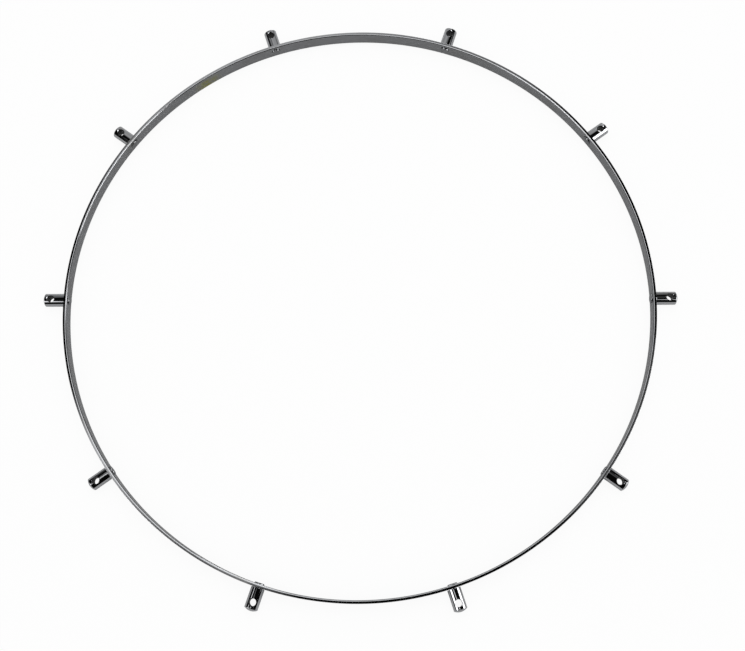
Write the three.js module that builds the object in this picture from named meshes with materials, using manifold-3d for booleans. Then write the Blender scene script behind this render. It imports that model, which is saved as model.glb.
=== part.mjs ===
// Drum tension hoop: a flat bar rolled into a ring, with turned posts standing out round it.
// A screw through the band holds each post, and each post is cross-drilled for a tension rod.
import * as THREE from "three";
import { mergeVertices } from "three/addons/utils/BufferGeometryUtils.js";
import Module from "manifold-3d";

// Lengths are in millimetres. The hoop lies flat with its axis on +Z and its lower edge on Z = 0.

// Band: flat bar, rolled, butt-welded and plated, dressed round inside and broken outside
const bandInsideDiameter = 574;
const bandThickness = 3.2;
const bandHeight = 16;
const bandInnerEdgeRadius = 1.2;
const bandOuterEdgeBreak = 0.2;

// Posts: bright bar turned to length, domed at the tip and broken at the foot
const postCount = 10;
const postDiameter = 12.7;
const postLength = 21.5;
const postTipDome = 2.1;
const postFootBreak = 0.4;

// Rod hole: crosses the post parallel to the hoop's axis, countersunk from both sides
const rodHoleDiameter = 7;
const rodHoleFromTip = 8;
const rodHoleCountersink = 0.6;

// Screw: low round-edged head inside the band, shank through it into the post's tapped bore
const shankDiameter = 5;
const shankTipChamfer = 0.5;
const headDiameter = 9.6;
const headRim = 0.2;
const headEdgeRadius = 0.8;

// Fits: the clearance round a shank and at each seat, and the metal left behind the tapped bore
const shankClearance = 0.3;
const seatGap = 0.3;
const boreEndWall = 2.4;
const boreTipRoom = 0.5;
const drillPointAngle = THREE.MathUtils.degToRad(118);

// A dressed edge never takes more of the bar's thickness than this
const edgeLimitShare = 0.45;

// How far each cutter runs past what it cuts
const cutOverrun = 1;

// Facets round each form
const bandFacets = 180;
const edgeFacets = 3;
const postFacets = 32;
const rodHoleFacets = 20;
const screwFacets = 18;
const domeFacets = 3;

// Worked-out sizes
const bandInnerRadius = bandInsideDiameter / 2;
const bandOuterRadius = bandInnerRadius + bandThickness;
const postRadius = postDiameter / 2;
const postAxisHeight = bandHeight / 2;
const postFootAt = bandOuterRadius + seatGap;
const rodHoleRadius = rodHoleDiameter / 2;
const rodHoleFromFoot = postLength - rodHoleFromTip;
const shankRadius = shankDiameter / 2;
const boreRadius = shankRadius + shankClearance;
const borePoint = boreRadius / Math.tan(drillPointAngle / 2);
const boreDepth = rodHoleFromFoot - rodHoleRadius - boreEndWall - borePoint;
const headSeatAt = bandInnerRadius - seatGap;
const shankLength = postFootAt - headSeatAt + boreDepth - boreTipRoom;

const wasm = await Module();
wasm.setup();

/** A closed three.js geometry as a solid that can be cut. */
function solidOf(geometry) {
  const bare = geometry.clone();
  bare.deleteAttribute("normal");
  bare.deleteAttribute("uv");
  const merged = mergeVertices(bare);
  const mesh = new wasm.Mesh({
    numProp: 3,
    vertProperties: merged.getAttribute("position").array,
    triVerts: new Uint32Array(merged.index.array),
  });
  return new wasm.Manifold(mesh);
}

/** The three.js geometry of a solid. */
function geometryOf(solid) {
  const mesh = solid.getMesh();
  const geometry = new THREE.BufferGeometry();
  geometry.setAttribute("position", new THREE.BufferAttribute(mesh.vertProperties, mesh.numProp));
  geometry.setIndex(new THREE.BufferAttribute(mesh.triVerts, 1));
  return geometry;
}

/** Points along an arc, both ends included. */
function arcPoints(centreX, centreY, radius, from, to, steps) {
  const points = [];
  for (let step = 0; step <= steps; step += 1) {
    const angle = from + ((to - from) * step) / steps;
    const x = centreX + radius * Math.cos(angle);
    const y = centreY + radius * Math.sin(angle);
    points.push(new THREE.Vector2(x, y));
  }
  return points;
}

/** A profile of [radius, height] pairs turned about +Z. */
function turned(profile, facets) {
  const points = profile.map(([radius, height]) => new THREE.Vector2(radius, height));
  return new THREE.LatheGeometry(points, facets).rotateX(Math.PI / 2);
}

/** Profile points of a ball's cap, from its rim up to its crown on the axis. */
function capProfile(rimRadius, rise, crownHeight) {
  const ballRadius = (rimRadius ** 2 + rise ** 2) / (2 * rise);
  const rimAngle = Math.acos(rimRadius / ballRadius);
  const centre = crownHeight - ballRadius;
  const arc = arcPoints(0, centre, ballRadius, rimAngle, Math.PI / 2, domeFacets);
  return [...arc.slice(0, -1).map((point) => [point.x, point.y]), [0, crownHeight]];
}

/** A form that stands along +Z, laid along +X. */
function laidOutward(geometry) {
  return geometry.rotateY(Math.PI / 2);
}

/** The direction of one post, as an angle from +X. */
function stationAngle(station) {
  return (2 * Math.PI * station) / postCount;
}

/** The bar's section with its dressed edges, turned into a ring. */
function bandRing() {
  const edgeLimit = Math.min(bandThickness, bandHeight) * edgeLimitShare;
  const round = Math.min(bandInnerEdgeRadius, edgeLimit);
  const corner = Math.min(bandOuterEdgeBreak, edgeLimit);
  const roundX = bandInnerRadius + round;
  const right = Math.PI / 2;
  const outline = [
    ...arcPoints(roundX, round, round, 2 * right, 3 * right, edgeFacets),
    new THREE.Vector2(bandOuterRadius - corner, 0),
    new THREE.Vector2(bandOuterRadius, corner),
    new THREE.Vector2(bandOuterRadius, bandHeight - corner),
    new THREE.Vector2(bandOuterRadius - corner, bandHeight),
    ...arcPoints(roundX, bandHeight - round, round, right, 2 * right, edgeFacets),
  ];
  outline.push(outline[0].clone());
  return new THREE.LatheGeometry(outline, bandFacets).rotateX(Math.PI / 2);
}

/** The ring with a clearance hole for each post's screw. */
function bandGeometry() {
  const drillLength = bandThickness + 2 * cutOverrun;
  const drill = new THREE.CylinderGeometry(boreRadius, boreRadius, drillLength, screwFacets);
  drill.rotateZ(Math.PI / 2);
  drill.translate((bandInnerRadius + bandOuterRadius) / 2, 0, postAxisHeight);
  let band = solidOf(bandRing());
  for (let station = 0; station < postCount; station += 1) {
    const placed = drill.clone().rotateZ(stationAngle(station));
    band = band.subtract(solidOf(placed));
  }
  return geometryOf(band);
}

/** The rod hole's cutter: straight through, opening at 45 degrees from both sides. */
function rodHoleCutter() {
  const end = postRadius + cutOverrun;
  const straight = postRadius - rodHoleCountersink;
  const mouth = rodHoleRadius + end - straight;
  const profile = [
    [0, -end],
    [mouth, -end],
    [rodHoleRadius, -straight],
    [rodHoleRadius, straight],
    [mouth, end],
    [0, end],
  ];
  return turned(profile, rodHoleFacets).translate(rodHoleFromFoot, 0, 0);
}

/** The tapped bore's cutter: blind, with a drill point. */
function boreCutter() {
  const profile = [
    [0, -cutOverrun],
    [boreRadius, -cutOverrun],
    [boreRadius, boreDepth],
    [0, boreDepth + borePoint],
  ];
  return laidOutward(turned(profile, screwFacets));
}

/** One post along +X with its foot on X = 0. */
function postGeometry() {
  const profile = [
    [0, 0],
    [postRadius - postFootBreak, 0],
    [postRadius, postFootBreak],
    ...capProfile(postRadius, postTipDome, postLength),
  ];
  const bar = solidOf(laidOutward(turned(profile, postFacets)));
  const drilled = bar.subtract(solidOf(rodHoleCutter()));
  return geometryOf(drilled.subtract(solidOf(boreCutter())));
}

/** One screw along +X, its head's seat on X = 0 and its face towards the hoop's centre. */
function screwGeometry() {
  const headRadius = headDiameter / 2;
  const faceRadius = headRadius - headEdgeRadius;
  const edge = arcPoints(faceRadius, -headRim, headEdgeRadius, -Math.PI / 2, 0, edgeFacets);
  const profile = [
    [0, -headRim - headEdgeRadius],
    ...edge.map((point) => [point.x, point.y]),
    [headRadius, 0],
    [shankRadius, 0],
    [shankRadius, shankLength - shankTipChamfer],
    [shankRadius - shankTipChamfer, shankLength],
    [0, shankLength],
  ];
  return laidOutward(geometryOf(solidOf(turned(profile, screwFacets))));
}

/** Bright chromium plate, a little duller where roughness is higher. */
function plated(color, roughness) {
  return new THREE.MeshStandardMaterial({ color, roughness, metalness: 1, flatShading: true });
}

/** A named piece with its own material. */
function piece(name, geometry, material) {
  const mesh = new THREE.Mesh(geometry, material);
  mesh.name = name;
  return mesh;
}

/** The post and its screw at one station, in a group turned to that station. */
function stationGroup(station, post, screw) {
  const label = String(station + 1).padStart(2, "0");
  const group = new THREE.Group();
  const postMesh = piece(`post_${label}`, post, plated(0xc6c8ce, 0.08));
  const screwMesh = piece(`post_screw_${label}`, screw, plated(0xb9bbc0, 0.2));
  postMesh.position.set(postFootAt, 0, postAxisHeight);
  screwMesh.position.set(headSeatAt, 0, postAxisHeight);
  group.add(postMesh, screwMesh);
  group.rotation.z = stationAngle(station);
  return group;
}

const hoop = new THREE.Group();
hoop.name = "drum_hoop";
hoop.add(piece("hoop_band", bandGeometry(), plated(0xc2c4c9, 0.12)));
const post = postGeometry();
const screw = screwGeometry();
for (let station = 0; station < postCount; station += 1) {
  hoop.add(stationGroup(station, post, screw));
}

export default hoop;
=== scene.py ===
"""A drum tension hoop, dressed and lit for a studio picture.

A flat bar is rolled into a ring and ten turned posts stand out of it. A screw with a
low head holds each post from inside the ring. Every piece is chromium plated. The frame
gives each size and place, and this script adds the fine surfaces, the finishes,
the studio and the camera. Lengths are in metres, angles in degrees.
"""

import logging
import math
from abc import ABC, abstractmethod
from dataclasses import dataclass
from enum import Enum
from typing import Any, Iterable, Optional, Union

import bmesh
import bpy
from mathutils import Matrix, Vector


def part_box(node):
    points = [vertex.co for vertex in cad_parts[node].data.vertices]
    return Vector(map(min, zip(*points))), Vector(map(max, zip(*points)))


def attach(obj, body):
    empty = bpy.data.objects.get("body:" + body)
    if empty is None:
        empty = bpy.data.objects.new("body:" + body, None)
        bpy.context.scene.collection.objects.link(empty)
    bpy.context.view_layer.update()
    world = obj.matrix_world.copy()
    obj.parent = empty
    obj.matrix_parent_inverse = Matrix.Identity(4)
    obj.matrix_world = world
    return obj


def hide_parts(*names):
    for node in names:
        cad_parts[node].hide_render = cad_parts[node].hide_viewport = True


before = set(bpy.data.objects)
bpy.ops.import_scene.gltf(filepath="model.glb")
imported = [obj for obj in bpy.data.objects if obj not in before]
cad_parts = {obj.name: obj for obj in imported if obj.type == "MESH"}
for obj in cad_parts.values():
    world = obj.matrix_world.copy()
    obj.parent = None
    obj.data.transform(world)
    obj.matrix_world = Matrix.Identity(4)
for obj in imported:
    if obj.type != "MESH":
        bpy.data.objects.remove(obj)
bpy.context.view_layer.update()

MM = 0.001
UP = Vector((0.0, 0.0, 1.0))
FULL_TURN = 2.0 * math.pi

# Points closer than this are one point
WELD_DISTANCE = 0.001 * MM
# A vertex past this share of a screw head's radius lies on its rim
RIM_SHARE = 0.95

log = logging.getLogger("drum_hoop")

Value = Union["Signal", float, int]


class Signal:
    """A shader socket that takes part in sums, as a number would."""

    def __init__(self, bench: "ShaderBench", socket: bpy.types.NodeSocket) -> None:
        """Keeps the output socket and the bench that its node stands on."""
        self.bench = bench
        self.socket = socket

    def _sum(self, operation: str, first: Value, second: Value) -> "Signal":
        """A Math node of one operation on two values."""
        return self.bench.node("ShaderNodeMath", {"operation": operation}, {0: first, 1: second})

    def __add__(self, other: Value) -> "Signal":
        """This value plus another."""
        return self._sum("ADD", self, other)

    def __radd__(self, other: Value) -> "Signal":
        """A number plus this value."""
        return self._sum("ADD", other, self)

    def __sub__(self, other: Value) -> "Signal":
        """This value less another."""
        return self._sum("SUBTRACT", self, other)

    def __rsub__(self, other: Value) -> "Signal":
        """A number less this value."""
        return self._sum("SUBTRACT", other, self)

    def __mul__(self, other: Value) -> "Signal":
        """This value times another."""
        return self._sum("MULTIPLY", self, other)

    def __truediv__(self, other: Value) -> "Signal":
        """This value over another."""
        return self._sum("DIVIDE", self, other)


class ShaderBench:
    """One node tree, emptied and filled again."""

    def __init__(self, tree: bpy.types.NodeTree) -> None:
        """Clears the tree.

        Args:
            tree: The node tree of a material or of the world.
        """
        tree.nodes.clear()
        self.tree = tree

    def node(self, kind: str, settings: Optional[dict[str, Any]] = None,
             sockets: Optional[dict[Union[int, str], Any]] = None,
             output: Union[int, str] = 0) -> Signal:
        """Adds a node.

        Args:
            kind: The node's type.
            settings: Its properties, set before its sockets.
            sockets: A value, a colour or a Signal for each named or numbered input.
            output: The name or number of the output to return.

        Returns:
            The output socket, wrapped.
        """
        made = self.tree.nodes.new(kind)
        for name, value in (settings or {}).items():
            setattr(made, name, value)
        for name, value in (sockets or {}).items():
            self._feed(made.inputs[name], value)
        return Signal(self, made.outputs[output])

    def _feed(self, socket: bpy.types.NodeSocket, value: Any) -> None:
        """Links a Signal to a socket, or sets a plain value on it.

        Args:
            socket: The input socket.
            value: A Signal, a number, a vector or a colour of three or four values.
        """
        if isinstance(value, Signal):
            self.tree.links.new(value.socket, socket)
        elif isinstance(value, (tuple, list)) and socket.type == "RGBA" and len(value) == 3:
            socket.default_value = (*value, 1.0)
        else:
            socket.default_value = value

    def finish(self, kind: str, shader: Signal) -> None:
        """Ends the tree with an output node of the given type."""
        made = self.tree.nodes.new(kind)
        self.tree.links.new(shader.socket, made.inputs["Surface"])

    def math(self, operation: str, *values: Value) -> Signal:
        """A Math node of any operation on up to three values."""
        return self.node("ShaderNodeMath", {"operation": operation}, dict(enumerate(values)))

    def step(self, value: Value, low: float, high: float) -> Signal:
        """A smooth rise from 0 at low to 1 at high. It falls where low is above high.

        Args:
            value: The value that decides.
            low: Where the result is 0.
            high: Where the result is 1.

        Returns:
            A value from 0 to 1.
        """
        if low > high:
            return 1.0 - self.step(value, high, low)
        settings = {"interpolation_type": "SMOOTHSTEP"}
        sockets = {"Value": value, "From Min": low, "From Max": high}
        return self.node("ShaderNodeMapRange", settings, sockets)

    def blend(self, factor: Value, first: Any, second: Any) -> Signal:
        """A colour that goes from the first to the second."""
        sockets = {"Factor": factor, 6: first, 7: second}
        return self.node("ShaderNodeMix", {"data_type": "RGBA"}, sockets, output=2)

    def noise(self, vector: Signal, scale: float, detail: float = 2.0,
              roughness: float = 0.5) -> Signal:
        """Cloudy noise between 0 and 1 on a vector."""
        sockets = {"Vector": vector, "Scale": scale, "Detail": detail, "Roughness": roughness}
        return self.node("ShaderNodeTexNoise", {}, sockets)

    def vector(self, x: Value, y: Value, z: Value) -> Signal:
        """A vector of three values."""
        return self.node("ShaderNodeCombineXYZ", {}, {0: x, 1: y, 2: z})


class StationChart:
    """Shader coordinates round the nearest post: along, across and away from its axis."""

    def __init__(self, bench: ShaderBench, stations: int, axis_height: float) -> None:
        """Folds the hoop's stations onto one.

        Args:
            bench: The node tree to work on.
            stations: How many posts stand round the hoop.
            axis_height: The height of their axes.
        """
        place = bench.node("ShaderNodeTexCoord", {}, {}, output="Object")
        self.place = place
        x, y, z = (
            bench.node("ShaderNodeSeparateXYZ", {}, {0: place}, output=axis) for axis in "XYZ"
        )
        pitch = FULL_TURN / stations
        turn = bench.math("ARCTAN2", y, x)
        self.number = bench.math("ROUND", turn / pitch)
        offset = turn - self.number * pitch
        self.turn = turn
        self.radius = bench.math("SQRT", x * x + y * y)
        self.along = self.radius * bench.math("COSINE", offset)
        self.across = self.radius * bench.math("SINE", offset)
        self.height = z
        above = z - axis_height
        self.from_axis = bench.math("SQRT", self.across * self.across + above * above)


class Lay(Enum):
    """How the steel was worked before it was plated."""

    ROLLED = "drawn lengthwise, then rolled into a ring"
    TURNED = "turned round the post's axis"
    FORMED = "cold formed, with no tool marks"


class MarkOrShade(ABC):
    """A place where the plate differs, or where shade is painted on it, with a colour and a roughness of
    its own.
    """

    colour: tuple[float, float, float]
    roughness: float

    @abstractmethod
    def mask(self, bench: ShaderBench, chart: StationChart) -> Signal:
        """Where the mark or the painted shade shows.

        Args:
            bench: The material's node tree.
            chart: The coordinates to place it by.

        Returns:
            How much of it shows, from 0 to 1.
        """


@dataclass(frozen=True)
class RodHoleShade(MarkOrShade):
    """Painted shade down the rod hole at every post: its walls are dark and dull.

    Attributes:
        colour: The painted shade's colour.
        roughness: Its roughness.
        reach: How far out the holes' axes stand.
        radius: The holes' radius.
        fade: How wide its edge is.
    """

    colour: tuple[float, float, float]
    roughness: float
    reach: float
    radius: float
    fade: float

    def mask(self, bench: ShaderBench, chart: StationChart) -> Signal:
        """Where the painted shade shows.

        Args:
            bench: The material's node tree.
            chart: The coordinates to place it by.

        Returns:
            1 on the holes' walls, and 0 on their flared mouths and outside them.
        """
        outward = chart.along - self.reach
        apart = bench.math("SQRT", outward * outward + chart.across * chart.across)
        return bench.step(apart, self.radius + self.fade, self.radius)


@dataclass(frozen=True)
class Tarnish(MarkOrShade):
    """A cloudy yellow patch inside the band.

    Attributes:
        colour: Its reflection colour.
        roughness: Its roughness.
        azimuth: The direction of its middle, from +X towards +Y.
        spread: How far it reaches to each side, as an angle.
        wall: The radius that it lies within.
        low: The height up to which it is full.
        high: The height at which it ends.
        skin: How far past the wall's radius it fades out.
        cloud_scale: How fine its clouds are.
        cloud_span: The noise levels between which the clouds thicken.
    """

    colour: tuple[float, float, float]
    roughness: float
    azimuth: float
    spread: float
    wall: float
    low: float
    high: float
    skin: float = 0.3 * MM
    cloud_scale: float = 160.0
    cloud_span: tuple[float, float] = (0.25, 0.60)

    def mask(self, bench: ShaderBench, chart: StationChart) -> Signal:
        """Where the tarnish shows.

        Args:
            bench: The material's node tree.
            chart: The coordinates to place it by.

        Returns:
            A cloud from 0 to 1 that fades away from the patch's middle.
        """
        away = bench.math("ABSOLUTE", chart.turn - math.radians(self.azimuth))
        near = bench.step(away, math.radians(self.spread), 0.0)
        tall = bench.step(chart.height, self.high, self.low)
        inside = bench.step(chart.radius, self.wall + self.skin, self.wall)
        noise = bench.noise(chart.place, self.cloud_scale, detail=4.0, roughness=0.6)
        return near * tall * inside * bench.step(noise, *self.cloud_span)


@dataclass(frozen=True)
class ChromePlate:
    """Chromium plate over polished steel.

    Attributes:
        name: The material's name.
        slot: The record's material slot. It is not used.
        colour: The plate's own reflection colour.
        dull_colour: Its colour where a film lies on it.
        roughness: Its roughness where it is clean.
        haze: How much a film of handling adds to the roughness.
        lay: How the steel under it was worked.
        line_pitch: The spacing of the tool lines.
        line_depth: The depth of the tool lines.
        waviness: The depth of the long, shallow ripples in the polish.
        mark_or_shade: A place where the plate differs, or where shade is painted on it, if it has one.
        line_drift: How fast the draw lines change along the band.
        ripple_scale: How fine the ripples are.
        film_scale: How fine the film's clouds are.
        film_span: The noise levels between which the film thickens.
    """

    name: str
    slot: str
    colour: tuple[float, float, float]
    dull_colour: tuple[float, float, float]
    roughness: float
    haze: float
    lay: Lay
    line_pitch: float
    line_depth: float
    waviness: float
    mark_or_shade: Optional[MarkOrShade] = None
    line_drift: float = 0.9
    ripple_scale: float = 55.0
    film_scale: float = 28.0
    film_span: tuple[float, float] = (0.42, 0.78)

    def material(self, stations: int, axis_height: float) -> bpy.types.Material:
        """Builds the material.

        Args:
            stations: How many posts stand round the hoop.
            axis_height: The height of their axes.

        Returns:
            The finished material.
        """
        made = bpy.data.materials.new(self.name)
        made.use_nodes = True
        bench = ShaderBench(made.node_tree)
        chart = StationChart(bench, stations, axis_height)
        film = self._film(bench, chart)
        lines = self._lines(bench, chart)
        ripple = bench.noise(chart.place, self.ripple_scale, detail=1.0)
        relief = lines * self.line_depth + ripple * self.waviness
        normal = bench.node("ShaderNodeBump", {}, {"Height": relief, "Distance": 1.0})
        colour = bench.blend(film, self.colour, self.dull_colour)
        rough = self.roughness + film * self.haze
        if self.mark_or_shade is not None:
            mask = self.mark_or_shade.mask(bench, chart)
            colour = bench.blend(mask, colour, self.mark_or_shade.colour)
            rough = rough + mask * (self.mark_or_shade.roughness - rough)
        shader = bench.node("ShaderNodeBsdfPrincipled", {}, {
            "Base Color": colour, "Metallic": 1.0, "Roughness": rough, "Normal": normal})
        bench.finish("ShaderNodeOutputMaterial", shader)
        return made

    def _film(self, bench: ShaderBench, chart: StationChart) -> Signal:
        """Where handling has left a film, from 0 to 1."""
        cloud = bench.noise(chart.place, self.film_scale, detail=4.0, roughness=0.62)
        return bench.step(cloud, *self.film_span)

    def _lines(self, bench: ShaderBench, chart: StationChart) -> Signal:
        """Tool lines that follow the way the steel was worked.

        Args:
            bench: The material's node tree.
            chart: The coordinates to place them by.

        Returns:
            Their height, from 0 to 1.
        """
        pitch = self.line_pitch
        if self.lay is Lay.ROLLED:
            grain = bench.vector(chart.turn * self.line_drift, chart.radius / pitch, chart.height / pitch)
            return bench.noise(grain, 1.0, detail=2.0)
        if self.lay is Lay.TURNED:
            grain = bench.vector(chart.along / pitch, chart.from_axis / pitch, chart.number)
            return bench.noise(grain, 1.0, detail=1.0)
        return bench.noise(chart.place, 1.0 / pitch, detail=1.0)


class MeshShop:
    """Bmesh steps that several pieces share."""

    @staticmethod
    def ring_edges(mesh: bmesh.types.BMesh, height: float, radius: float,
                   slack: float = 0.02 * MM) -> list[bmesh.types.BMEdge]:
        """Edges of a turned shape that run round at one height and radius.

        Args:
            mesh: The shape, turned about +Z.
            height: The height of the ring.
            radius: The radius of the ring.
            slack: How far a vertex may be from it.

        Returns:
            The edges whose two ends both lie on the ring.
        """
        def on_ring(vertex: bmesh.types.BMVert) -> bool:
            here = math.hypot(vertex.co.x, vertex.co.y)
            return abs(vertex.co.z - height) < slack and abs(here - radius) < slack
        return [edge for edge in mesh.edges if all(on_ring(vertex) for vertex in edge.verts)]

    @staticmethod
    def ease(mesh: bmesh.types.BMesh, edges: list[bmesh.types.BMEdge], width: float,
             segments: int) -> None:
        """Rounds edges with a bevel of a few segments."""
        bmesh.ops.bevel(mesh, geom=edges, offset=width, offset_type="OFFSET", segments=segments,
                        profile=0.5, affect="EDGES", material=-1, clamp_overlap=True)

    @staticmethod
    def turned(profile: Iterable[tuple[float, float]], facets: int) -> bmesh.types.BMesh:
        """Spins a profile about +Z.

        Args:
            profile: Radius and height of each point, from pole to pole.
            facets: How many facets go round.

        Returns:
            The closed shape, with its faces pointing out.
        """
        mesh = bmesh.new()
        chain = [mesh.verts.new((radius, 0.0, height)) for radius, height in profile]
        for start, end in zip(chain, chain[1:]):
            mesh.edges.new((start, end))
        bmesh.ops.spin(mesh, geom=mesh.verts[:] + mesh.edges[:], cent=(0, 0, 0), axis=UP,
                       angle=FULL_TURN, steps=facets, use_merge=True)
        bmesh.ops.remove_doubles(mesh, verts=mesh.verts[:], dist=WELD_DISTANCE)
        bmesh.ops.recalc_face_normals(mesh, faces=mesh.faces[:])
        return mesh

    @staticmethod
    def cap(rim_radius: float, rise: float, crown: float, steps: int = 16) -> list[tuple[float, float]]:
        """The profile of a ball's cap.

        Args:
            rim_radius: The radius of its rim.
            rise: How far its crown stands over its rim.
            crown: The height of its crown.
            steps: How many chords make the arc.

        Returns:
            Radius and height of each point, from the rim to the crown.
        """
        ball = (rim_radius ** 2 + rise ** 2) / (2.0 * rise)
        reach = math.asin(rim_radius / ball)
        turns = [reach * step / steps for step in range(steps, -1, -1)]
        return [(ball * math.sin(turn), crown - ball * (1.0 - math.cos(turn))) for turn in turns]

    @staticmethod
    def obj(name: str, mesh: bmesh.types.BMesh) -> bpy.types.Object:
        """Makes a smooth-shaded object of a bmesh and frees the bmesh.

        Args:
            name: The object's name.
            mesh: The bmesh. It is used up.

        Returns:
            The object, linked to the scene.
        """
        data = bpy.data.meshes.new(name)
        for face in mesh.faces:
            face.smooth = True
        mesh.to_mesh(data)
        mesh.free()
        made = bpy.data.objects.new(name, data)
        bpy.context.scene.collection.objects.link(made)
        return made

    @staticmethod
    def cut(body: bpy.types.Object, tool: bpy.types.Object) -> None:
        """Cuts a tool from a body and removes the tool.

        Args:
            body: The object whose mesh changes.
            tool: The object that cuts.
        """
        step = body.modifiers.new("step", "BOOLEAN")
        step.operation = "DIFFERENCE"
        step.solver = "EXACT"
        step.object = tool
        graph = bpy.context.evaluated_depsgraph_get()
        result = bpy.data.meshes.new_from_object(body.evaluated_get(graph))
        body.modifiers.clear()
        old, body.data = body.data, result
        bpy.data.meshes.remove(old)
        spent = tool.data
        bpy.data.objects.remove(tool)
        bpy.data.meshes.remove(spent)


@dataclass(frozen=True)
class HoopFrame:
    """The sizes that every piece of the hoop shares, read from the frame.

    Attributes:
        inner_radius: The band's inside radius.
        outer_radius: The band's outside radius.
        height: The band's height.
        axis_height: The height of the posts' axes.
        foot_radius: How far out the posts' feet stand.
        tip_radius: How far out the posts' tips reach.
        post_radius: The posts' own radius.
        seat_radius: How far out the screw heads' seats lie.
        crown_radius: How far out the screw heads' crowns lie.
        screw_end_radius: How far out the screws end.
        head_radius: The screw heads' own radius.
        stations: How many posts stand round the band.
    """

    inner_radius: float
    outer_radius: float
    height: float
    axis_height: float
    foot_radius: float
    tip_radius: float
    post_radius: float
    seat_radius: float
    crown_radius: float
    screw_end_radius: float
    head_radius: float
    stations: int

    @classmethod
    def measured(cls) -> "HoopFrame":
        """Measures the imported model.

        Returns:
            The sizes, taken from the band, the first post and the first screw.
        """
        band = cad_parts["hoop_band"].data
        reach = [math.hypot(vertex.co.x, vertex.co.y) for vertex in band.vertices]
        band_low, band_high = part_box("hoop_band")
        post_low, post_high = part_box("post_01")
        screw_low, screw_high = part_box("post_screw_01")
        axis_height = (band_low[2] + band_high[2]) / 2
        head_radius = screw_high[2] - axis_height
        corners = [vertex.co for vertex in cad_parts["post_screw_01"].data.vertices]
        rim = [at.x for at in corners if math.hypot(at.y, at.z - axis_height) > RIM_SHARE * head_radius]
        return cls(
            inner_radius=min(reach),
            outer_radius=max(reach),
            height=band_high[2] - band_low[2],
            axis_height=axis_height,
            foot_radius=post_low[0],
            tip_radius=post_high[0],
            post_radius=(post_high[2] - post_low[2]) / 2,
            seat_radius=max(rim),
            crown_radius=screw_low[0],
            screw_end_radius=screw_high[0],
            head_radius=head_radius,
            stations=sum(name.startswith("post_screw_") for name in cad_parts),
        )

    def to_station(self, station: int, start_radius: float) -> Matrix:
        """The place of a piece that was made along +Z from the origin.

        Args:
            station: The post's number, from 0.
            start_radius: How far out the piece's own origin goes.

        Returns:
            The matrix that lays the piece outward along that post's axis.
        """
        turn = Matrix.Rotation(FULL_TURN * station / self.stations, 4, "Z")
        shift = Matrix.Translation((start_radius, 0.0, self.axis_height))
        return turn @ shift @ Matrix.Rotation(math.pi / 2, 4, "Y")


def hand_over(piece: bpy.types.Object, node: str, finish: ChromePlate,
              material: bpy.types.Material) -> None:
    """Dresses a finished piece and gives it its place in the frame.

    Args:
        piece: The object, with its place in its mesh.
        node: The CAD node that it stands for.
        finish: The finish that it wears.
        material: The material of that finish.
    """
    piece.data.materials.clear()
    piece.data.materials.append(material)
    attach(piece, "root")
    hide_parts(node)
    log.info("%s: %d faces, %s, %s", piece.name, len(piece.data.polygons), finish.name, finish.lay.value)


@dataclass
class HoopBand:
    """The flat bar, rolled into a ring and welded.

    Attributes:
        hoop: The shared sizes.
        inner_round: The round on the bar's two inner edges.
        outer_break: The small round on its two outer edges.
        bore_radius: The clearance hole for a screw.
        facets: Facets round the ring.
        edge_segments: Facets across one round edge.
        bore_facets: Facets round a clearance hole.
        drill_reach: The drills' length, in bar thicknesses.
        sharp_angle: The angle from which an edge is shaded sharp.
    """

    hoop: HoopFrame
    inner_round: float = 1.2 * MM
    outer_break: float = 0.2 * MM
    bore_radius: float = 2.8 * MM
    facets: int = 720
    edge_segments: int = 8
    bore_facets: int = 48
    drill_reach: float = 4.0
    sharp_angle: float = 40.0

    def build(self) -> bpy.types.Object:
        """Spins the bar's section and drills it.

        Returns:
            The finished ring.
        """
        mesh = self._section()
        bmesh.ops.spin(mesh, geom=mesh.verts[:] + mesh.edges[:], cent=(0, 0, 0), axis=UP,
                       angle=FULL_TURN, steps=self.facets, use_merge=True)
        bmesh.ops.recalc_face_normals(mesh, faces=mesh.faces[:])
        band = MeshShop.obj("band", mesh)
        MeshShop.cut(band, self._drills())
        band.data.set_sharp_from_angle(angle=math.radians(self.sharp_angle))
        smooth = band.modifiers.new("even_shading", "WEIGHTED_NORMAL")
        smooth.keep_sharp = True
        return band

    def _section(self) -> bmesh.types.BMesh:
        """The bar's rounded outline.

        Returns:
            The outline, standing at its radius, with no face.
        """
        hoop = self.hoop
        mesh = bmesh.new()
        bmesh.ops.create_grid(mesh, x_segments=1, y_segments=1, size=0.5)
        thickness = hoop.outer_radius - hoop.inner_radius
        bmesh.ops.scale(mesh, vec=(thickness, hoop.height, 1.0), verts=mesh.verts[:])
        bmesh.ops.rotate(mesh, cent=(0, 0, 0), matrix=Matrix.Rotation(math.pi / 2, 3, "X"),
                         verts=mesh.verts[:])
        middle = (hoop.inner_radius + hoop.outer_radius) / 2
        bmesh.ops.translate(mesh, vec=(middle, 0.0, hoop.axis_height), verts=mesh.verts[:])
        for inside, width in ((True, self.inner_round), (False, self.outer_break)):
            corners = [vertex for vertex in mesh.verts if (vertex.co.x < middle) == inside]
            bmesh.ops.bevel(mesh, geom=corners, offset=width, offset_type="OFFSET",
                            segments=self.edge_segments, profile=0.5, affect="VERTICES", material=-1)
        bmesh.ops.delete(mesh, geom=mesh.faces[:], context="FACES_ONLY")
        return mesh

    def _drills(self) -> bpy.types.Object:
        """The drills for the screws.

        Returns:
            One cutter for all the stations.
        """
        hoop = self.hoop
        mesh = bmesh.new()
        length = self.drill_reach * (hoop.outer_radius - hoop.inner_radius)
        for station in range(hoop.stations):
            place = hoop.to_station(station, (hoop.inner_radius + hoop.outer_radius) / 2)
            bmesh.ops.create_cone(mesh, cap_ends=True, segments=self.bore_facets,
                                  radius1=self.bore_radius, radius2=self.bore_radius,
                                  depth=length, matrix=place)
        return MeshShop.obj("band_drills", mesh)


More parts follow.
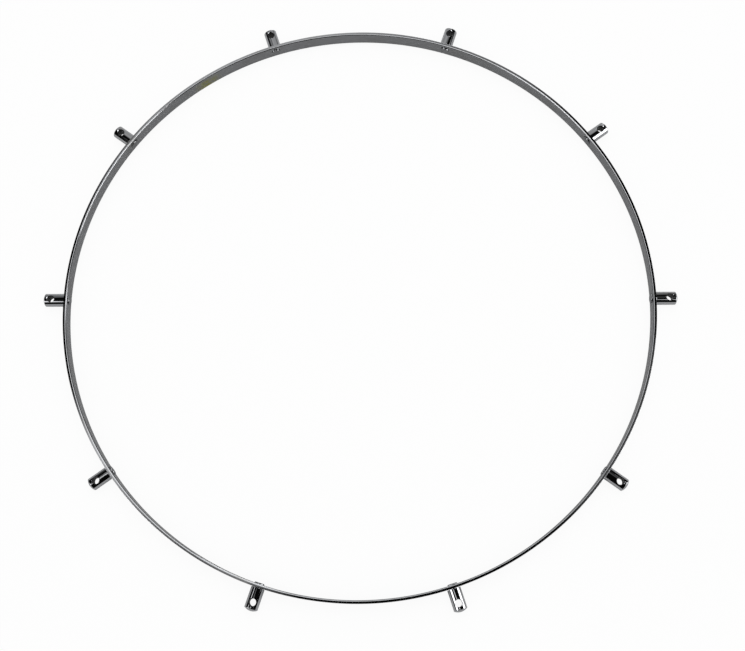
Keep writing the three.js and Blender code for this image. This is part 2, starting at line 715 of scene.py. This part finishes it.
@dataclass
class TensionPost:
    """A post turned from round bar, cross-drilled for the rod and tapped for its screw.

    Attributes:
        hoop: The shared sizes.
        tip_dome: How far the tip's dome rises.
        foot_break: The broken edge round the foot.
        crest_round: The small round that polishing leaves round the tip.
        shade_guard: How far from that round the post's own shading starts.
        rod_hole_radius: The rod hole's radius.
        rod_hole_from_tip: The rod hole's distance from the tip.
        rod_hole_flare: The countersink on both sides of the rod hole.
        bore_radius: The tapped bore's radius.
        bore_end_wall: The metal between the bore's drill point and the rod hole.
        drill_half_angle: Half the angle of the bore's drill point.
        drill_overrun: How far the bore's drill starts outside the foot.
        facets: Facets round the post.
        rod_hole_facets: Facets round the rod hole.
        bore_facets: Facets round the tapped bore.
        crest_segments: Facets across the round at the tip.
        mouth_segments: Facets across the round in the rod hole's mouth.
        sharp_angle: The angle from which an edge is shaded sharp.
    """

    hoop: HoopFrame
    tip_dome: float = 2.1 * MM
    foot_break: float = 0.4 * MM
    crest_round: float = 0.3 * MM
    shade_guard: float = 0.1 * MM
    rod_hole_radius: float = 3.5 * MM
    rod_hole_from_tip: float = 8.0 * MM
    rod_hole_flare: float = 0.6 * MM
    bore_radius: float = 2.8 * MM
    bore_end_wall: float = 2.4 * MM
    drill_half_angle: float = 59.0
    drill_overrun: float = 1.0 * MM
    facets: int = 160
    rod_hole_facets: int = 96
    bore_facets: int = 64
    crest_segments: int = 4
    mouth_segments: int = 5
    sharp_angle: float = 24.0

    @property
    def length(self) -> float:
        """The post's length."""
        return self.hoop.tip_radius - self.hoop.foot_radius

    def build(self) -> bpy.types.Object:
        """Turns and drills one post.

        Returns:
            The post, standing on the origin along +Z.
        """
        post = MeshShop.obj("post_blank", self._bar())
        MeshShop.cut(post, MeshShop.obj("rod_drill", self._rod_drill()))
        MeshShop.cut(post, MeshShop.obj("foot_drill", self._foot_drill()))
        post.data.set_sharp_from_angle(angle=math.radians(self.sharp_angle))
        return post

    def _bar(self) -> bmesh.types.BMesh:
        """The bar, before it is drilled.

        Returns:
            The turned shape, broken at its foot, domed at its tip and eased between.
        """
        radius, rim = self.hoop.post_radius, self.length - self.tip_dome
        guard = rim - self.crest_round - self.shade_guard
        profile = [(0.0, 0.0), (radius - self.foot_break, 0.0), (radius, self.foot_break),
                   (radius, guard)]
        profile += MeshShop.cap(radius, self.tip_dome, self.length)
        mesh = MeshShop.turned(profile, self.facets)
        crest = MeshShop.ring_edges(mesh, rim, radius)
        MeshShop.ease(mesh, crest, self.crest_round, self.crest_segments)
        return mesh

    def _rod_drill(self) -> bmesh.types.BMesh:
        """The rod hole's cutter.

        Returns:
            The turned shape, flared at both ends and laid across the post.
        """
        radius, flare = self.rod_hole_radius, self.rod_hole_flare
        straight = self.hoop.post_radius - flare
        end = self.hoop.post_radius + flare
        wide = radius + end - straight
        profile = [(0.0, -end), (wide, -end), (radius, -straight), (radius, straight),
                   (wide, end), (0.0, end)]
        mesh = MeshShop.turned(profile, self.rod_hole_facets)
        for side in (-straight, straight):
            mouth = MeshShop.ring_edges(mesh, side, radius)
            MeshShop.ease(mesh, mouth, flare / 3, self.mouth_segments)
        across = Matrix.Rotation(math.pi / 2, 4, "Y")
        lift = Matrix.Translation((0.0, 0.0, self.length - self.rod_hole_from_tip))
        bmesh.ops.transform(mesh, matrix=lift @ across, verts=mesh.verts[:])
        return mesh

    def _foot_drill(self) -> bmesh.types.BMesh:
        """The tapped bore's cutter.

        Returns:
            The turned shape, with its drill point.
        """
        radius, start = self.bore_radius, -self.drill_overrun
        end = self.length - self.rod_hole_from_tip - self.rod_hole_radius - self.bore_end_wall
        point = radius / math.tan(math.radians(self.drill_half_angle))
        profile = [(0.0, start), (radius, start), (radius, end - point), (0.0, end)]
        return MeshShop.turned(profile, self.bore_facets)


@dataclass
class PostScrew:
    """A screw with a smooth, low head.

    Attributes:
        hoop: The shared sizes.
        face_rise: How far the head's face is domed.
        edge_round: The round on the head's edge.
        shank_radius: The shank's radius.
        end_chamfer: The chamfer at the shank's end.
        facets: Facets round the screw.
        face_steps: Facets from the rim of the head's face to its middle.
        edge_segments: Facets across the round on the head's edge.
        sharp_angle: The angle from which an edge is shaded sharp.
    """

    hoop: HoopFrame
    face_rise: float = 0.1 * MM
    edge_round: float = 0.8 * MM
    shank_radius: float = 2.5 * MM
    end_chamfer: float = 0.5 * MM
    facets: int = 96
    face_steps: int = 4
    edge_segments: int = 8
    sharp_angle: float = 30.0

    def build(self) -> bpy.types.Object:
        """Makes one screw.

        Returns:
            The screw, with its seat on the origin and its shank along +Z.
        """
        hoop = self.hoop
        head = hoop.seat_radius - hoop.crown_radius
        shank = hoop.screw_end_radius - hoop.seat_radius
        screw = MeshShop.obj("screw_blank", self._blank(head, shank))
        screw.data.set_sharp_from_angle(angle=math.radians(self.sharp_angle))
        return screw

    def _blank(self, head: float, shank: float) -> bmesh.types.BMesh:
        """The turned shape: a low head over a plain shank.

        Args:
            head: The head's height.
            shank: The shank's length.

        Returns:
            The closed shape.
        """
        radius, end = self.hoop.head_radius, self.end_chamfer
        face = reversed(MeshShop.cap(radius, self.face_rise, head, self.face_steps))
        profile = [(reach, -height) for reach, height in face]
        profile += [(radius, 0.0), (self.shank_radius, 0.0), (self.shank_radius, shank - end),
                    (self.shank_radius - end, shank), (0.0, shank)]
        mesh = MeshShop.turned(profile, self.facets)
        edge = MeshShop.ring_edges(mesh, self.face_rise - head, radius)
        MeshShop.ease(mesh, edge, self.edge_round, self.edge_segments)
        return mesh


@dataclass
class StationSet:
    """Ten like pieces, one at each station.

    Attributes:
        hoop: The shared sizes.
        prototype: The piece, made along +Z from the origin. It is used up.
        label: The node's name without its number.
        start_radius: How far out the prototype's origin goes.
    """

    hoop: HoopFrame
    prototype: bpy.types.Object
    label: str
    start_radius: float

    def place(self, finish: ChromePlate, material: bpy.types.Material) -> None:
        """Copies the prototype to every station, dresses the copies and drops the prototype.

        Args:
            finish: The finish that the copies wear.
            material: The material of that finish.
        """
        for station in range(self.hoop.stations):
            number = f"{station + 1:02d}"
            data = self.prototype.data.copy()
            data.transform(self.hoop.to_station(station, self.start_radius))
            copy = bpy.data.objects.new(f"turned_{self.label}_{number}", data)
            bpy.context.scene.collection.objects.link(copy)
            hand_over(copy, f"{self.label}_{number}", finish, material)
        bpy.data.objects.remove(self.prototype)


@dataclass(frozen=True)
class PhotoCamera:
    """The camera, at the photograph's viewing angle.

    Attributes:
        size: The picture's width and height in pixels.
        focal_px: The focal length in pixels.
        distance: The distance to the target, in outside radii.
        elevation: The height of the view above the floor.
        azimuth: The turn of the view round the hoop, from -Y towards +X.
        roll: The turn of the camera about its own axis.
        target: The point that the middle of the picture shows, in outside radii.
    """

    size: tuple[int, int] = (745, 651)
    focal_px: float = 1048.3
    distance: float = 3.5634
    elevation: float = 74.74
    azimuth: float = 5.85
    roll: float = -5.80
    target: tuple[float, float] = (0.0486, -0.0848)

    def place(self, hoop: HoopFrame) -> None:
        """Makes the scene's camera.

        Args:
            hoop: The shared sizes.
        """
        tilt, swing = math.radians(self.elevation), math.radians(self.azimuth)
        back = Vector((math.sin(swing) * math.cos(tilt), -math.cos(swing) * math.cos(tilt),
                       math.sin(tilt)))
        right = UP.cross(back).normalized()
        raised = back.cross(right)
        turn = Matrix.Rotation(math.radians(self.roll), 3, back)
        axes = Matrix((turn @ right, turn @ raised, back)).transposed()
        reach = hoop.outer_radius
        aim = Vector((self.target[0] * reach, self.target[1] * reach, 0.0))
        data = bpy.data.cameras.new("photo_camera")
        data.lens = self.focal_px * data.sensor_width / self.size[0]
        camera = bpy.data.objects.new("photo_camera", data)
        camera.matrix_world = Matrix.Translation(aim + back * self.distance * reach) @ axes.to_4x4()
        bpy.context.scene.collection.objects.link(camera)
        bpy.context.scene.camera = camera


@dataclass(frozen=True)
class Panel:
    """A soft-edged bright rectangle on the tent, placed as the hoop's middle sees it.

    Attributes:
        azimuth: Its middle's direction, from +X towards +Y.
        elevation: Its middle's height above the floor.
        width: The angle that it fills sideways.
        height: The angle that it fills upwards.
        softness: The angle over which its edges fade.
        level: Its brightness, where it is brighter than what it overlaps.
    """

    azimuth: float
    elevation: float
    width: float
    height: float
    softness: float
    level: float

    def axes(self) -> tuple[Vector, Vector, Vector]:
        """The panel's own directions.

        Returns:
            Unit vectors to its middle, sideways along the tent and up the tent.
        """
        turn, lift = math.radians(self.azimuth), math.radians(self.elevation)
        level = math.cos(lift)
        middle = Vector((math.cos(turn) * level, math.sin(turn) * level, math.sin(lift)))
        sideways = Vector((-math.sin(turn), math.cos(turn), 0.0))
        return middle, sideways, middle.cross(sideways)


@dataclass
class Studio:
    """The floor, the tent that the metal reflects, the lamp and the white world.

    Attributes:
        floor_radius: The floor's radius.
        floor_height: The floor's height. It lies just under the hoop.
        floor_colour: The pale floor's own grey.
        white_share: How much of the floor looks plain white to the camera.
        sheet_height: The height of the sheet that the metal sees over the floor.
        sheet_inside_shade: The grey that the metal sees in place of the floor, inside the hoop. It is
            darker there: painted shade of the floor at the hoop's wall.
        sheet_near: The same, round the hoop.
        sheet_far: The same, far from the hoop.
        sheet_rim: The radii between which the first fades to the second.
        sheet_edge: The radii between which the second fades to the third.
        disc_facets: Facets round the floor and the sheet.
        daylight: The level of the even light.
        tent_radius: The tent's radius.
        tent_facets: Facets round the tent, and from pole to pole before it is cut.
        tent_hem: The height at which the tent is cut off.
        cloth_level: The tent's brightness away from its panels.
        facing_fade: How squarely a direction faces a panel before the panel shows in full.
        lamp_size: The width of the lamp.
        lamp_power: The power of the lamp in watts.
        lamp_place: Where the lamp hangs.
        panels: The tent's bright areas.
    """

    floor_radius: float = 12.0
    floor_height: float = -1.0 * MM
    floor_colour: float = 0.80
    white_share: float = 0.92
    sheet_height: float = -0.5 * MM
    sheet_inside_shade: float = 0.225
    sheet_near: float = 0.45
    sheet_far: float = 0.12
    sheet_rim: tuple[float, float] = (0.275, 0.300)
    sheet_edge: tuple[float, float] = (0.45, 0.85)
    disc_facets: int = 96
    daylight: float = 0.85
    tent_radius: float = 1.2
    tent_facets: tuple[int, int] = (96, 48)
    tent_hem: float = -1.5 * MM
    cloth_level: float = 0.003
    facing_fade: float = 0.1
    lamp_size: float = 1.8
    lamp_power: float = 12.0
    lamp_place: tuple[float, float, float] = (0.1, 0.5, 2.0)
    panels: tuple[Panel, ...] = (
        Panel(azimuth=93.0, elevation=10.0, width=60.0, height=80.0, softness=16.0, level=0.40),
        Panel(azimuth=79.0, elevation=12.0, width=10.0, height=29.0, softness=4.5, level=3.00),
        Panel(azimuth=106.5, elevation=54.0, width=27.5, height=61.0, softness=17.0, level=0.45),
        Panel(azimuth=146.0, elevation=76.0, width=29.0, height=21.0, softness=8.5, level=1.80),
        Panel(azimuth=139.0, elevation=10.0, width=14.0, height=61.5, softness=14.5, level=0.37),
        Panel(azimuth=346.0, elevation=19.5, width=36.5, height=32.0, softness=2.5, level=3.40),
        Panel(azimuth=23.0, elevation=29.5, width=5.5, height=25.5, softness=3.5, level=3.25),
        Panel(azimuth=8.0, elevation=65.0, width=14.0, height=25.0, softness=3.0, level=0.08),
        Panel(azimuth=210.5, elevation=32.0, width=25.0, height=20.5, softness=13.0, level=3.70),
        Panel(azimuth=252.0, elevation=68.0, width=6.0, height=9.0, softness=3.5, level=1.90),
        Panel(azimuth=311.5, elevation=43.5, width=6.0, height=6.5, softness=4.5, level=0.80),
        Panel(azimuth=225.0, elevation=37.5, width=5.5, height=7.5, softness=3.5, level=1.00),
        Panel(azimuth=225.0, elevation=67.5, width=5.0, height=5.5, softness=5.5, level=2.20),
        Panel(azimuth=184.5, elevation=41.0, width=5.0, height=5.5, softness=3.0, level=1.55),
    )

    def set_up(self) -> None:
        """Builds the whole studio."""
        self._view()
        self._world()
        self._floor()
        self._sheet()
        self._tent()
        self._lamp()

    def _view(self) -> None:
        """Sets the plain view transform."""
        bpy.context.scene.view_settings.view_transform = "Standard"

    def _seen(self, bench: ShaderBench) -> Signal:
        """Tells what is seen from what gives light.

        Args:
            bench: The node tree to work on.

        Returns:
            1 for camera, glossy and transmission rays, and 0 for the light itself.
        """
        def ray(name: str) -> Signal:
            return bench.node("ShaderNodeLightPath", {}, {}, output=name)
        either = bench.math("MAXIMUM", ray("Is Camera Ray"), ray("Is Glossy Ray"))
        return bench.math("MAXIMUM", either, ray("Is Transmission Ray"))

    def _world(self) -> None:
        """A white world that gives even light."""
        world = bpy.data.worlds.new("white_room")
        world.use_nodes = True
        bench = ShaderBench(world.node_tree)
        seen = self._seen(bench)
        strength = self.daylight + seen * (1.0 - self.daylight)
        sky = bench.node("ShaderNodeBackground", {}, {"Color": (1.0, 1.0, 1.0), "Strength": strength})
        bench.finish("ShaderNodeOutputWorld", sky)
        bpy.context.scene.world = world

    def _disc(self, name: str, radius: float, height: float) -> bpy.types.Object:
        """A round staged surface.

        Args:
            name: The object's name.
            radius: The surface's radius.
            height: The surface's height.

        Returns:
            The object, with no material yet.
        """
        mesh = bmesh.new()
        bmesh.ops.create_circle(mesh, cap_ends=True, segments=self.disc_facets, radius=radius,
                                matrix=Matrix.Translation((0, 0, height)))
        made = MeshShop.obj(name, mesh)
        return made

    def _floor(self) -> None:
        """The pale floor. It looks white to the camera and keeps the hoop's shadow."""
        floor = self._disc("studio_floor", self.floor_radius, self.floor_height)
        made = bpy.data.materials.new("pale_floor")
        made.use_nodes = True
        bench = ShaderBench(made.node_tree)
        grey = self.floor_colour
        matt = bench.node("ShaderNodeBsdfDiffuse", {}, {"Color": (grey, grey, grey)})
        white = bench.node("ShaderNodeEmission", {}, {"Color": (1.0, 1.0, 1.0), "Strength": 1.0})
        shader = bench.node("ShaderNodeMixShader", {}, {
            0: self._seen(bench) * self.white_share, 1: matt, 2: white})
        bench.finish("ShaderNodeOutputMaterial", shader)
        floor.data.materials.append(made)

    def _only_for_metal(self, made: bpy.types.Object) -> None:
        """Hides a staged surface from the camera, the floor and the lamps.

        Args:
            made: The surface.
        """
        made.visible_camera = False
        made.visible_diffuse = False
        made.visible_shadow = False
        made.visible_transmission = False

    def _sheet(self) -> None:
        """The grey sheet that the metal reflects in place of the white floor. Inside the hoop it is
        darker, with painted shade.
        """
        sheet = self._disc("grey_sheet", self.tent_radius, self.sheet_height)
        self._only_for_metal(sheet)
        made = bpy.data.materials.new("grey_sheet")
        made.use_nodes = True
        bench = ShaderBench(made.node_tree)
        place = bench.node("ShaderNodeTexCoord", {}, {}, output="Object")
        reach = bench.node("ShaderNodeVectorMath", {"operation": "LENGTH"}, {0: place}, output="Value")
        # Painted shade: the sheet is darker inside the hoop, as the floor is at the foot of its wall.
        outward = bench.blend(bench.step(reach, *self.sheet_rim),
                              (self.sheet_inside_shade,) * 3, (self.sheet_near,) * 3)
        colour = bench.blend(bench.step(reach, *self.sheet_edge), outward, (self.sheet_far,) * 3)
        shader = bench.node("ShaderNodeBsdfDiffuse", {}, {"Color": colour})
        bench.finish("ShaderNodeOutputMaterial", shader)
        sheet.data.materials.append(made)

    def _tent(self) -> None:
        """The cloth dome that the metal reflects, bright where its panels are."""
        mesh = bmesh.new()
        around, upward = self.tent_facets
        bmesh.ops.create_uvsphere(mesh, u_segments=around, v_segments=upward,
                                  radius=self.tent_radius)
        geometry = mesh.verts[:] + mesh.edges[:] + mesh.faces[:]
        bmesh.ops.bisect_plane(mesh, geom=geometry, plane_co=(0, 0, self.tent_hem), plane_no=UP,
                               clear_inner=True)
        bmesh.ops.reverse_faces(mesh, faces=mesh.faces[:])
        tent = MeshShop.obj("cloth_tent", mesh)
        self._only_for_metal(tent)
        made = bpy.data.materials.new("tent_cloth")
        made.use_nodes = True
        made.cycles.emission_sampling = "NONE"
        bench = ShaderBench(made.node_tree)
        place = bench.node("ShaderNodeTexCoord", {}, {}, output="Object")
        way = bench.node("ShaderNodeVectorMath", {"operation": "NORMALIZE"}, {0: place})
        level: Value = self.cloth_level
        for panel in self.panels:
            level = bench.math("MAXIMUM", level, self._panel(bench, way, panel))
        shader = bench.node("ShaderNodeEmission", {}, {"Color": (1.0, 1.0, 1.0), "Strength": level})
        bench.finish("ShaderNodeOutputMaterial", shader)
        tent.data.materials.append(made)

    def _panel(self, bench: ShaderBench, way: Signal, panel: Panel) -> Signal:
        """One panel's brightness.

        Args:
            bench: The tent's node tree.
            way: The direction from the hoop's middle.
            panel: The panel.

        Returns:
            Its level inside its edges, and 0 elsewhere.
        """
        facing, aside, above = (
            bench.node("ShaderNodeVectorMath", {"operation": "DOT_PRODUCT"}, {0: way, 1: axis},
                       output="Value")
            for axis in panel.axes()
        )
        level = bench.step(facing, 0.0, self.facing_fade) * panel.level
        for offset, extent in ((aside, panel.width), (above, panel.height)):
            slope = bench.math("ABSOLUTE", offset / facing)
            outer = math.tan(math.radians((extent + panel.softness) / 2))
            inner = math.tan(math.radians((extent - panel.softness) / 2))
            level = level * bench.step(slope, outer, inner)
        return level

    def _lamp(self) -> None:
        """A large soft lamp over the hoop. The metal sees the tent in its place."""
        data = bpy.data.lights.new("overhead_lamp", "AREA")
        data.shape = "DISK"
        data.size = self.lamp_size
        data.energy = self.lamp_power
        lamp = bpy.data.objects.new("overhead_lamp", data)
        lamp.location = self.lamp_place
        lamp.rotation_euler = Vector(self.lamp_place).to_track_quat("Z", "Y").to_euler()
        lamp.visible_glossy = False
        bpy.context.scene.collection.objects.link(lamp)


BAND_PLATE = ChromePlate(
    name="band_plate", slot="band_chrome", colour=(0.63, 0.64, 0.66), dull_colour=(0.54, 0.54, 0.54),
    roughness=0.05, haze=0.07,
    lay=Lay.ROLLED, line_pitch=0.16 * MM, line_depth=0.0004 * MM, waviness=0.0015 * MM,
    mark_or_shade=Tarnish(colour=(0.62, 0.61, 0.22), roughness=0.22, azimuth=123.9, spread=3.8,
                    wall=287.0 * MM, low=9.0 * MM, high=16.0 * MM),
)
POST_PLATE = ChromePlate(
    name="post_plate", slot="post_chrome", colour=(0.59, 0.60, 0.62), dull_colour=(0.53, 0.53, 0.53),
    roughness=0.03, haze=0.03,
    lay=Lay.TURNED, line_pitch=0.14 * MM, line_depth=0.0002 * MM, waviness=0.001 * MM,
    # Painted shade: the rod holes' walls are darkened to near black.
    mark_or_shade=RodHoleShade(colour=(0.12, 0.12, 0.12), roughness=0.35, reach=304.0 * MM,
                      radius=3.52 * MM, fade=0.15 * MM),
)
SCREW_PLATE = ChromePlate(
    name="screw_plate", slot="screw_chrome", colour=(0.58, 0.59, 0.61), dull_colour=(0.46, 0.46, 0.46),
    roughness=0.12, haze=0.10,
    lay=Lay.FORMED, line_pitch=MM / 0.9, line_depth=0.001 * MM, waviness=0.001 * MM,
)


def main() -> None:
    """Builds the camera, the hoop's pieces and the studio."""
    logging.basicConfig(level=logging.INFO, format="%(name)s: %(message)s")
    hoop = HoopFrame.measured()
    PhotoCamera().place(hoop)
    plates = {
        finish: finish.material(hoop.stations, hoop.axis_height)
        for finish in (BAND_PLATE, POST_PLATE, SCREW_PLATE)
    }
    hand_over(HoopBand(hoop).build(), "hoop_band", BAND_PLATE, plates[BAND_PLATE])
    posts = StationSet(hoop, TensionPost(hoop).build(), "post", hoop.foot_radius)
    posts.place(POST_PLATE, plates[POST_PLATE])
    screws = StationSet(hoop, PostScrew(hoop).build(), "post_screw", hoop.seat_radius)
    screws.place(SCREW_PLATE, plates[SCREW_PLATE])
    Studio().set_up()


if __name__ == "__main__":
    main()
